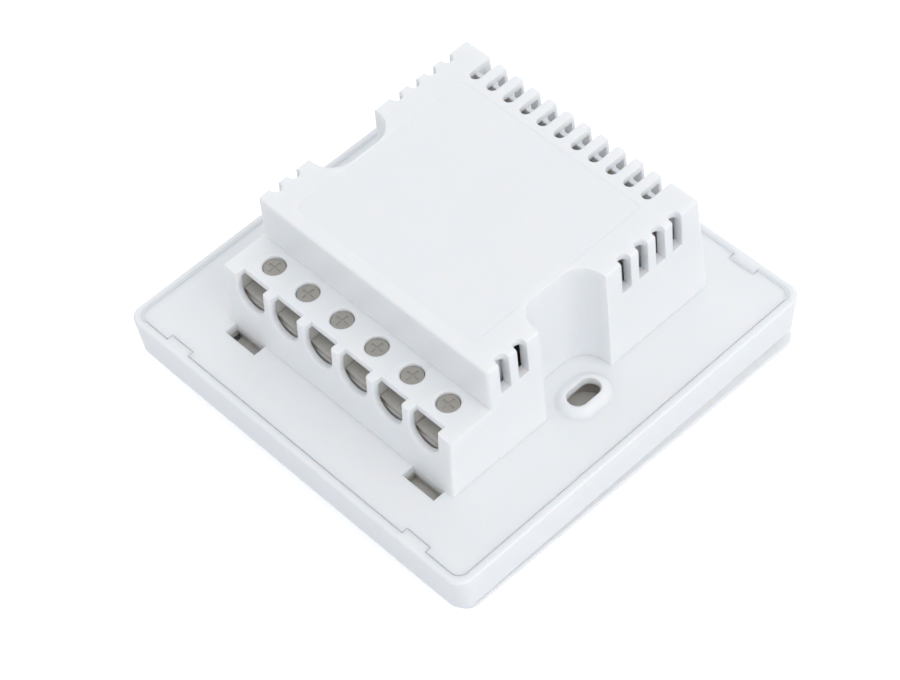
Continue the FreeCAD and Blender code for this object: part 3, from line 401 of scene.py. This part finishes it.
# The strip's light face colour is partly painted light against the shade on the strips' tops, and
# its darker cut-edge colour partly painted shade.
brass = metal("tin_plated_brass_strip", "#F2F0EC", "#E6E3DE", 0.65, (1.0, 0.12, 1.0), 0.2, 0.002,
              cut_edge_and_painted_shade="#B9B6B1")
tin = metal("tinned_steel_shield", "#C9CBCC", "#B4B6B8", 0.3, (1, 1, 1), 0.5, 0.003)
copper = metal("enamelled_copper_wire", "#B8693A", "#9E5127", 0.28, (1, 1, 1), 0.4, 0.002)
solder = metal("tin_solder_joint", "#D4D6D8", "#BFC1C4", 0.2, (1, 1, 1), 0.5, 0.004)
can_aluminium = metal("pressed_aluminium_can", "#D9DBDD", "#C8CACC", 0.3, (1, 1, 1), 0.3, 0.002)
cap_nickel = metal("nickel_plated_cap", "#C2BDB4", "#ADA89F", 0.26, (1, 1, 1), 0.5, 0.002)
ferrite = moulded("sintered_ferrite", "#2F3033", "#26272A", 0.62, 0.4, 0.02)
print("metals made")

# %% [markdown]
# The boards are glass-epoxy laminate under a white solder mask, as on lit keypads. Copper
# tracks lie under the mask as slightly raised paths, and bare fibre shows at the routed
# edges. A Voronoi cell pattern in the Manhattan metric gives right-angled tracks without
# copying a real layout. The clear parts are cast acrylic, and the LEDs are tinted epoxy.

# %% Boards and clear parts
TRACK_MM = 2.4
TRACK_EDGE = (0.72, 0.78)
GLASS_WEAVE_MM = 0.5
TRACK_RISE = 0.03 * MM
ACRYLIC_IOR = 1.49
RIPPLE_MM = 0.8


def solder_mask(name, mask, track):
    """Laminate under a mask: right-angled track lands slightly raised and a shade darker."""
    material, tree, surface = new_material(name)
    where = node(tree, "TexCoord").outputs["Object"]
    cells = node(tree, "TexVoronoi", {"distance": "MANHATTAN", "feature": "F2"}, Vector=where,
                 Scale=grain_scale(TRACK_MM), Randomness=0.7)
    land = node(tree, "MapRange", Value=cells.outputs["Distance"])
    land.inputs["From Min"].default_value, land.inputs["From Max"].default_value = TRACK_EDGE
    tone = node(tree, "Mix", {"data_type": "RGBA"}, Factor=land.outputs["Result"])
    tone.inputs[6].default_value = linear(mask)
    tone.inputs[7].default_value = linear(track)
    tree.links.new(tone.outputs[2], surface.inputs["Base Color"])
    surface.inputs["Roughness"].default_value = 0.32
    weave = node(tree, "TexNoise", Vector=where, Scale=grain_scale(GLASS_WEAVE_MM))
    height = node(tree, "Math", {"operation": "MULTIPLY_ADD"}, _0=weave.outputs["Fac"], _1=0.2,
                  _2=land.outputs["Result"])
    relief = node(tree, "Bump", Strength=1.0, Distance=TRACK_RISE, Height=height.outputs[0])
    tree.links.new(relief.outputs[0], surface.inputs["Normal"])
    return material


def cast_clear(name, tint, roughness):
    """Clear acrylic with a faint ripple from its mould."""
    material, tree, surface = new_material(name)
    where = node(tree, "TexCoord").outputs["Object"]
    ripple = node(tree, "TexNoise", Vector=where, Scale=grain_scale(RIPPLE_MM))
    relief = node(tree, "Bump", Strength=1.0, Distance=0.01 * MM, Height=ripple.outputs["Fac"])
    tree.links.new(relief.outputs[0], surface.inputs["Normal"])
    surface.inputs["Base Color"].default_value = linear(tint)
    surface.inputs["Transmission Weight"].default_value = 0.9
    surface.inputs["IOR"].default_value = ACRYLIC_IOR
    surface.inputs["Roughness"].default_value = roughness
    return material


board_white = solder_mask("white_solder_mask_board", "#E6E5E1", "#DDDCD7")
radio_black = solder_mask("black_solder_mask_radio_board", "#24282B", "#2E3336")
clear_acrylic = cast_clear("clear_cast_acrylic", "#F7FAFC", 0.12)
led_epoxy = cast_clear("milky_led_epoxy", "#F2F0E2", 0.35)
print("boards and clear parts made")

# %% [markdown]
# Each CAD node already carries the name of its material slot, so one table from slot to
# finish dresses nearly all of them. The front frame and the radio board share a slot with
# other nodes, and get their own finish by name.

# %% Dress the CAD nodes
finish_of_slot = {
    "housing": white_abs, "keys": key_abs, "lens": clear_acrylic, "pcb": board_white,
    "black_plastic": black_pa, "terminal_plastic": terminal_pa, "relay_plastic": relay_case,
    "zinc_steel": zinc, "brass": brass, "ferrite": ferrite, "copper_winding": copper,
    "can_sleeve": sleeve, "film_box": film_case, "varistor_epoxy": varistor_skin,
    "fuse_ceramic": ceramic, "shield": tin, "led": led_epoxy, "button_cap": button_nylon,
}
finish_of_node = {"front_frame": frame_abs, "radio_board": radio_black}
slot_of_node = {}
for row in frame["record"]["materials"]:
    for name in row.get("nodes", []):
        slot_of_node[name] = row["slot"]


def dress(name, solid):
    """Give a CAD node the finish of its own name, or else of its material slot."""
    own = solid.data.materials[0].name.split(".")[0] if solid.data.materials else ""
    slot = slot_of_node.get(name, own)
    finish = finish_of_node.get(name) or finish_of_slot[slot]
    solid.data.materials.clear()
    solid.data.materials.append(finish)
    return slot


dressed = {name: dress(name, solid) for name, solid in frame["nodes"].items()}
print("dressed", len(dressed), "nodes in", len(set(dressed.values())), "slots")

# %% [markdown]
# Wound, drawn and dipped parts are round all over, which a block model can't show. They are
# made again as surfaces in three ways: rings of points sewn into a closed skin, a profile
# turned as on a lathe, and a round wire carried along a path. Every helper works on whole
# arrays in millimetres, and the last one turns the result into a piece of the switch.

# %% Surface helpers
TAU = 2.0 * math.pi
SHARP_EDGE_DEG = 40.0


def skin(rings):
    """Points and faces of a closed skin over rings[row, column, xyz].

    Neighbouring rings are joined by four-sided faces, and the first and last ring by a fan
    of triangles to their middle. The signed volume, a sixth of the sum of a . (b x c) over
    triangles, is negative where the faces look inwards, and then they are all turned round.
    """
    rows, columns = rings.shape[:2]
    i = np.arange(columns)
    after = (i + 1) % columns
    j = np.arange(rows - 1)[:, None] * columns
    quads = np.stack([j + i, j + after, j + after + columns, j + i + columns], -1).reshape(-1, 4)
    top = (rows - 1) * columns
    first = np.stack([after, i, np.full(columns, rows * columns)], -1)
    last = np.stack([i + top, after + top, np.full(columns, rows * columns + 1)], -1)
    points = np.vstack([rings.reshape(-1, 3), rings[0].mean(0), rings[-1].mean(0)])
    triangles = np.vstack([quads[:, :3], quads[:, [0, 2, 3]], first, last])
    a, b, c = (points[triangles[:, k]] for k in range(3))
    turn = -1 if np.einsum("ij,ij->i", a, np.cross(b, c)).sum() < 0 else 1
    return points, [face[::turn].tolist() for face in (*quads, *first, *last)]


def turned(profile, columns=48):
    """Rings of a profile of (radius, height) points turned about Z: (r cos, r sin, h).

    The profile starts and ends just off the axis, where skin() closes it with a fan.
    """
    r, h = np.array(profile, float).T
    angle = np.arange(columns) * TAU / columns
    return np.stack([r[:, None] * np.cos(angle), r[:, None] * np.sin(angle),
                     np.repeat(h[:, None], columns, 1)], -1)


def wire(path, radius, up=(0.0, 0.0, 1.0), columns=10):
    """Rings of a round wire along path[row, xyz]; its radius is one number or one per row.

    Across the path lie two directions: path direction x up, and that x path direction. The
    ring is their sum weighted by cosine and sine, times the radius.
    """
    along = np.gradient(path, axis=0)
    along /= np.linalg.norm(along, axis=1, keepdims=True)
    side = np.cross(along, up)
    side /= np.linalg.norm(side, axis=1, keepdims=True)
    other = np.cross(side, along)
    angle = (np.arange(columns) * TAU / columns)[None, :, None]
    reach = np.broadcast_to(np.asarray(radius, float), len(path))[:, None, None]
    return path[:, None] + reach * (side[:, None] * np.cos(angle) + other[:, None] * np.sin(angle))


def soft_rectangle(angle, half_x, half_y, power=5.0):
    """x = half_x sgn(cos)|cos|^(2/power), and y the same with sin: soft corners."""
    c, s = np.cos(angle), np.sin(angle)
    return (half_x * np.sign(c) * np.abs(c) ** (2.0 / power),
            half_y * np.sign(s) * np.abs(s) ** (2.0 / power))


def room(node_name):
    """Middle and size in millimetres of the room that a CAD piece takes."""
    low, high = (np.array(corner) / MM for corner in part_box(node_name))
    return (low + high) / 2.0, high - low


def piece(name, skins, material, replaced=()):
    """Join skins, given in millimetres, into one smooth-shaded piece of the housing body."""
    points, faces, count = [], [], 0
    for some_points, some_faces in skins:
        points.append(some_points)
        faces += [[count + corner for corner in face] for face in some_faces]
        count += len(some_points)
    mesh = bpy.data.meshes.new(name)
    mesh.from_pydata((np.vstack(points) * MM).tolist(), [], faces)
    mesh.polygons.foreach_set("use_smooth", np.ones(len(faces), bool))
    mesh.set_sharp_from_angle(angle=math.radians(SHARP_EDGE_DEG))
    mesh.materials.append(material)
    made = bpy.data.objects.new(name, mesh)
    scene.collection.objects.link(made)
    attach(made, "housing")
    if replaced:
        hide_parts(*replaced)
    print(name, "has", len(faces), "faces")
    return made


# %% [markdown]
# The rear plate has a little play in the frame, and in the photograph it lies against the
# frame on its two far sides: the seam is a dark hairline on the near sides, and on the far
# sides and round the corners only a pale line where the edges touch. A fine closing strip in
# those seams shows that. It leaves the sides of the snap tabs open, as small dark marks.

# %% Closed seam on the far sides
STRIP_RISE_MM = 0.03
STRIP_EDGE_MM = 0.004
STRIP_DEPTH_MM = 0.4
STRIP_LAP_MM = (-0.1, 0.18)
STRIP_SLOPE_MM = 0.06
TAB_X_MM = (27.65, 33.35)
TAB_REACH_MM = 1.2
EDGE_CORNER_MM = 2.0
plate_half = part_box("rear_housing")[1][0] / MM
plate_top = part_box("front_frame")[1][2] / MM


def closing_strip(path, outwards):
    """Skin of a fine strip along path[row, xy], from inside the seam to just beyond it.

    Each ring is path + outwards * d at the height h of the section's points (d, h). The
    section has upright sides, two short slopes and a level top.
    """
    inner, outer = STRIP_LAP_MM
    section = np.array([(inner, -STRIP_DEPTH_MM), (inner, STRIP_EDGE_MM),
                        (inner + STRIP_SLOPE_MM, STRIP_RISE_MM),
                        (outer - STRIP_SLOPE_MM, STRIP_RISE_MM),
                        (outer, STRIP_EDGE_MM), (outer, -STRIP_DEPTH_MM)])
    flat = path[:, None] + outwards[:, None] * section[None, :, :1]
    height = np.broadcast_to(plate_top + section[:, 1], flat.shape[:2])[..., None]
    return skin(np.concatenate([flat, height], -1))


def rounded(quarter):
    """Points and outward directions round one corner: quarter 0 is +X +Y, 1 -X +Y, 2 -X -Y.

    Both are cosine and sine of a quarter turn, and the points lie one corner radius out.
    """
    turn = (quarter + np.linspace(0.0, 1.0, 9)) * TAU / 4.0
    outwards = np.stack([np.cos(turn), np.sin(turn)], -1)
    middle = np.sign(outwards[4]) * (plate_half - EDGE_CORNER_MM)
    return middle + EDGE_CORNER_MM * outwards, outwards


to_back = np.array([[0.0, 1.0]] * 2)
tab_start, tab_end = TAB_X_MM
far_left, near_left, far_right = rounded(1), rounded(2), rounded(0)
strips = [closing_strip(np.vstack([[(-tab_end, plate_half)], far_left[0], near_left[0]]),
                        np.vstack([to_back[:1], far_left[1], near_left[1]])),
          closing_strip(np.vstack([far_right[0], [(tab_end, plate_half)]]),
                        np.vstack([far_right[1], to_back[:1]]))]
for x_start, x_end, depth in ((-tab_start, tab_start, 0.0), (-tab_end, -tab_start, TAB_REACH_MM),
                              (tab_start, tab_end, TAB_REACH_MM)):
    ends = np.array([(x_start, plate_half - depth), (x_end, plate_half - depth)])
    strips.append(closing_strip(ends, to_back))
piece("rear_plate_closed_seam", strips, white_seam)
print("plate edge at", round(plate_half, 2), "mm, top at", round(plate_top, 2), "mm")

# %% [markdown]
# A mains transformer's coil is enamelled copper wire laid turn beside turn on the bobbin,
# so its outline is a row of fine ribs with a red metallic shine. A spring or a stack of
# rings could stand for it. One wire is carried round instead, rising by its own thickness
# in each turn, as the winding machine lays it, over a core of the layers below.

# %% Transformer coil
COIL_WIRE_MM = 0.36
STEPS_A_TURN = 72
WIRE_SIDES = 8
middle, size = room("transformer_winding")
turns = int((size[2] - COIL_WIRE_MM) / COIL_WIRE_MM)
angle = np.linspace(0.0, TAU * turns, STEPS_A_TURN * turns + 1)
x, y = soft_rectangle(angle, (size[0] - COIL_WIRE_MM) / 2.0, (size[1] - COIL_WIRE_MM) / 2.0)
rise = (angle / angle[-1] - 0.5) * (size[2] - COIL_WIRE_MM)
outer_turns = wire(np.stack([x, y, rise], -1) + middle, COIL_WIRE_MM / 2.0, columns=WIRE_SIDES)
around = np.arange(STEPS_A_TURN) * TAU / STEPS_A_TURN
x, y = soft_rectangle(around, size[0] / 2.0 - COIL_WIRE_MM, size[1] / 2.0 - COIL_WIRE_MM)
below = np.stack([np.stack([x, y, np.full(STEPS_A_TURN, h)], -1)
                  for h in (-size[2] / 2.0, size[2] / 2.0)])
piece("transformer_coil", [skin(outer_turns), skin(below + middle)], copper,
      ["transformer_winding"])
print("coil turns:", turns)

# %% [markdown]
# The filter choke is wound on a ferrite drum: two flanges, a waist, and thicker wire between
# them. Pressed ferrite is dark, matte and slightly granular, with chamfered rims where the
# press tool parted. The drum is turned from a profile and the wire is a plain helix.

# %% Filter choke
CHOKE_WIRE_MM = 0.55
OFF_AXIS_MM = 0.2
middle, size = room("filter_choke")
r, h = size[0] / 2.0, size[2] / 2.0
flange, rim, waist = 1.2, 0.25, r * 0.5
drum = [(OFF_AXIS_MM, -h), (r - rim, -h), (r, rim - h), (r, flange - h - rim),
        (r - rim, flange - h), (waist, flange - h), (waist, h - flange), (r - rim, h - flange),
        (r, h - flange + rim), (r, h - rim), (r - rim, h), (OFF_AXIS_MM, h)]
piece("choke_drum", [skin(turned(drum) + middle)], ferrite, ["filter_choke"])
turns = int((size[2] - 2.0 * flange - CHOKE_WIRE_MM) / CHOKE_WIRE_MM)
angle = np.linspace(0.0, TAU * turns, 48 * turns + 1)
reach = r - rim - CHOKE_WIRE_MM / 2.0
rise = (angle / angle[-1] - 0.5) * (size[2] - 2.0 * flange - CHOKE_WIRE_MM)
helix = np.stack([reach * np.cos(angle), reach * np.sin(angle), rise], -1)
core = [(OFF_AXIS_MM, flange - h), (reach, flange - h), (reach, h - flange),
        (OFF_AXIS_MM, h - flange)]
piece("choke_coil", [skin(wire(helix + middle, CHOKE_WIRE_MM / 2.0, columns=WIRE_SIDES)),
                     skin(turned(core) + middle)], copper)
print("choke turns:", turns)

# %% [markdown]
# An electrolytic capacitor is an aluminium cup, crimped near its foot to hold the rubber
# bung, in a shrunk PVC sleeve that curls over the top. The bare top is scored with a cross,
# where it opens under pressure, and a pale stripe marks the minus side. The sleeve is a
# turned profile, the top a disc pressed down along the two score lines.

# %% Electrolytic capacitors
SCORE_DEPTH_MM = 0.14
SCORE_WIDTH_MM = 0.16
SLEEVE_PLAY_MM = 0.04
CRIMP_HEIGHT_MM = 2.0
SLEEVE_LIP_MM = 0.88
STRIPE_HALF_TURN = 0.42


def capacitor(node_name, stripe_turn):
    """Sleeve, scored top and minus stripe of one can.

    The top's height falls by depth exp(-(d/width)^2), where d is the distance to the nearer
    score line, and the score fades out towards the rim.
    """
    middle, size = room(node_name)
    r, h = size[0] / 2.0 - SLEEVE_PLAY_MM, size[2] / 2.0
    crimp = CRIMP_HEIGHT_MM - h
    sleeve_line = [(0.3, -h), (r - 0.35, -h), (r - 0.08, 0.12 - h), (r, 0.45 - h),
                   (r, crimp - 0.55), (r - 0.14, crimp - 0.3), (r - 0.34, crimp),
                   (r - 0.14, crimp + 0.3), (r, crimp + 0.55), (r, h - 0.6), (r - 0.1, h - 0.25),
                   (r - 0.35, h - 0.05), (r - 0.7, h), (r - 0.85, h - 0.06), (r - 0.9, h - 0.3)]
    piece(node_name + "_sleeve", [skin(turned(sleeve_line, 64) + middle)], sleeve,
          [node_name])
    outwards = np.linspace(0.05, r - SLEEVE_LIP_MM, 20)
    disc = turned([*((q, h - 0.12) for q in outwards), (r - SLEEVE_LIP_MM, h - 0.35)], 96)
    nearer = np.minimum(np.abs(disc[..., 0]), np.abs(disc[..., 1]))
    fade = np.clip((r - 1.3 - np.hypot(disc[..., 0], disc[..., 1])) / 0.4, 0.0, 1.0)
    disc[..., 2] -= SCORE_DEPTH_MM * np.exp(-(nearer / SCORE_WIDTH_MM) ** 2) * fade
    piece(node_name + "_top", [skin(disc + middle)], can_aluminium)
    across = stripe_turn + np.linspace(-STRIPE_HALF_TURN, STRIPE_HALF_TURN, 17)
    low, high = crimp + 0.6, h - 0.65
    section = np.array([(r - 0.05, low), (r + 0.03, low), (r + 0.03, high), (r - 0.05, high)])
    stripe = np.stack([section[:, 0] * np.cos(across)[:, None],
                       section[:, 0] * np.sin(across)[:, None],
                       np.repeat(section[None, :, 1], len(across), 0)], -1)
    piece(node_name + "_stripe", [skin(stripe + middle)], film_case)


for can_name, stripe_turn in (("input_capacitor", 0.6), ("output_capacitor", 2.2)):
    capacitor(can_name, stripe_turn)

# %% [markdown]
# The varistor is a pressed disc dipped in blue epoxy, so it has no edge anywhere: the coat
# is thickest in the middle, thin at the rim, and runs down the two leads in small collars.
# A profile with soft powers of sine and cosine gives the coat, and the leads' radius shrinks
# along their length.

# %% Varistor
DISC_POWER, COAT_POWER = 0.42, 0.75
POLE_GAP = 0.02
LEAD_FROM_MIDDLE_MM = (2.5, 0.5)
LEAD_RADIUS_MM = 0.32
COLLAR_MM = 0.42
COLLAR_SHARE = 0.45
LEAD_START_SHARE = 0.34
IN_BOARD_MM = 0.05
middle, size = room("varistor")
lean = np.linspace(POLE_GAP - TAU / 4.0, TAU / 4.0 - POLE_GAP, 33)
coat = np.stack([size[0] / 2.0 * np.cos(lean) ** DISC_POWER,
                 size[1] / 2.0 * np.sign(np.sin(lean)) * np.abs(np.sin(lean)) ** COAT_POWER], -1)
disc = turned(coat, 64)[..., [0, 2, 1]]
piece("varistor_coat", [skin(disc + middle)], varistor_skin, ["varistor"])
down = np.linspace(0.0, 1.0, 25)
board_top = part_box("power_board")[1][2] / MM
leads = []
for side in (-1.0, 1.0):
    start = middle + np.array([*(side * away for away in LEAD_FROM_MIDDLE_MM),
                               -size[2] * LEAD_START_SHARE])
    drop = start[2] - board_top + IN_BOARD_MM
    path = start + np.stack([0.0 * down, 0.0 * down, -drop * down], -1)
    radius = LEAD_RADIUS_MM + COLLAR_MM * np.exp(-(down / COLLAR_SHARE) ** 4)
    leads.append(skin(wire(path, radius, up=(0.0, 1.0, 0.0))))
piece("varistor_leads", leads, solder)

# %% [markdown]
# The fuse is a ceramic tube between two pressed nickel-plated caps, with tinned leads that
# bend down to the board. Glazed ceramic has a broad soft shine and the caps a sharp one,
# which is what tells them apart. All three are turned or drawn about the X axis.

# %% Fuse
CAP_LENGTH_MM = 2.3
CAP_EDGE_MM = 0.22
CAP_WALL_MM = 0.14
CAP_INSET_MM = 0.35
TUBE_INSET_MM = 0.3
BEND_MM = 0.5
FUSE_LEAD_MM = 0.3
middle, size = room("fuse")
r, h = size[2] / 2.0, size[0] / 2.0
tube_r, tube_h = r - CAP_WALL_MM, h - TUBE_INSET_MM
tube_line = [(OFF_AXIS_MM, -tube_h), (tube_r, -tube_h), (tube_r, tube_h), (OFF_AXIS_MM, tube_h)]
piece("fuse_tube", [skin(turned(tube_line)[..., [2, 0, 1]] + middle)], ceramic,
      ["fuse"])
caps, leads = [], []
bend = np.linspace(0.0, TAU / 4.0, 13)
fall = np.linspace(-BEND_MM - 0.1, board_top - IN_BOARD_MM - middle[2], 8)
for side in (-1.0, 1.0):
    a, b = side * (h - CAP_INSET_MM), side * (h - CAP_INSET_MM - CAP_LENGTH_MM)
    step = side * CAP_EDGE_MM
    cap_line = [(OFF_AXIS_MM, a), (r - CAP_EDGE_MM, a), (r - 0.06, a - step * 0.3), (r, a - step),
                (r, b + step), (r - 0.04, b), (OFF_AXIS_MM, b)]
    caps.append(skin(turned(cap_line)[..., [2, 0, 1]] + middle))
    arc = np.stack([side * (h - BEND_MM + BEND_MM * np.sin(bend)), 0.0 * bend,
                    BEND_MM * (np.cos(bend) - 1.0)], -1)
    straight = np.stack([np.full(len(fall), arc[-1, 0]), 0.0 * fall, fall], -1)
    path = np.vstack([arc, straight]) + middle
    leads.append(skin(wire(path, FUSE_LEAD_MM, up=(0.0, 1.0, 0.0))))
piece("fuse_caps", caps, cap_nickel)
piece("fuse_leads", leads, solder)

# %% [markdown]
# Small parts make a board read as a board. Solder climbs each link pin in a bright hollow
# cone, and chip resistors sit in a row beside them: a dark glazed body between two tinned
# ends. One of each is made and then set at every place by adding the places to its points.

# %% Solder joints and chip resistors
PIN_COUNT = 7
PIN_PITCH_MM = 2.54
JOINT_MM = (0.4, 0.5, 0.42)
pins = room("link_pins")[0]
pin_x = pins[0] + (np.arange(PIN_COUNT) - (PIN_COUNT - 1) / 2.0) * PIN_PITCH_MM
climb = np.linspace(0.0, 1.0, 6)
pin_r, spread, rise = JOINT_MM
joint_rings = turned(np.stack([pin_r + spread * (1.0 - climb) ** 2, rise * climb], -1), 14)
piece("link_solder_joints", [skin(joint_rings + np.array([x, pins[1], board_top])) for x in pin_x],
      solder)


def block_rings(length, half_width, height):
    """Rings of a soft-cornered block along X that stands on z = 0."""
    around = np.arange(24) * TAU / 24
    wide, tall = soft_rectangle(around, half_width, height / 2.0, 7.0)
    ends = length / 2.0 * np.array([-1.0, -0.98, 0.98, 1.0])
    shrink = np.array([0.9, 1.0, 1.0, 0.9])[:, None]
    return np.stack([np.repeat(ends[:, None], 24, 1), wide * shrink,
                     tall * shrink + height / 2.0], -1)


CHIP_COUNT = 8
FIRST_CHIP_MM = (-14.0, 19.6)
CHIP_STEP_MM = (4.2, 1.9)
CHIP_END_MM = 0.82
i = np.arange(CHIP_COUNT)
chip_places = np.stack([FIRST_CHIP_MM[0] + CHIP_STEP_MM[0] * i,
                        FIRST_CHIP_MM[1] + CHIP_STEP_MM[1] * (i % 2),
                        np.full(CHIP_COUNT, board_top)], -1)
bodies = block_rings(1.5, 0.62, 0.5)
ends = block_rings(0.4, 0.65, 0.56)
shift = np.array([CHIP_END_MM, 0.0, 0.0])
piece("chip_resistor_bodies", [skin(bodies + place) for place in chip_places], black_pa)
piece("chip_resistor_ends", [skin(ends + place + side * shift) for place in chip_places
                             for side in (-1.0, 1.0)], solder)
print("chips:", len(chip_places), "joints:", len(pin_x))
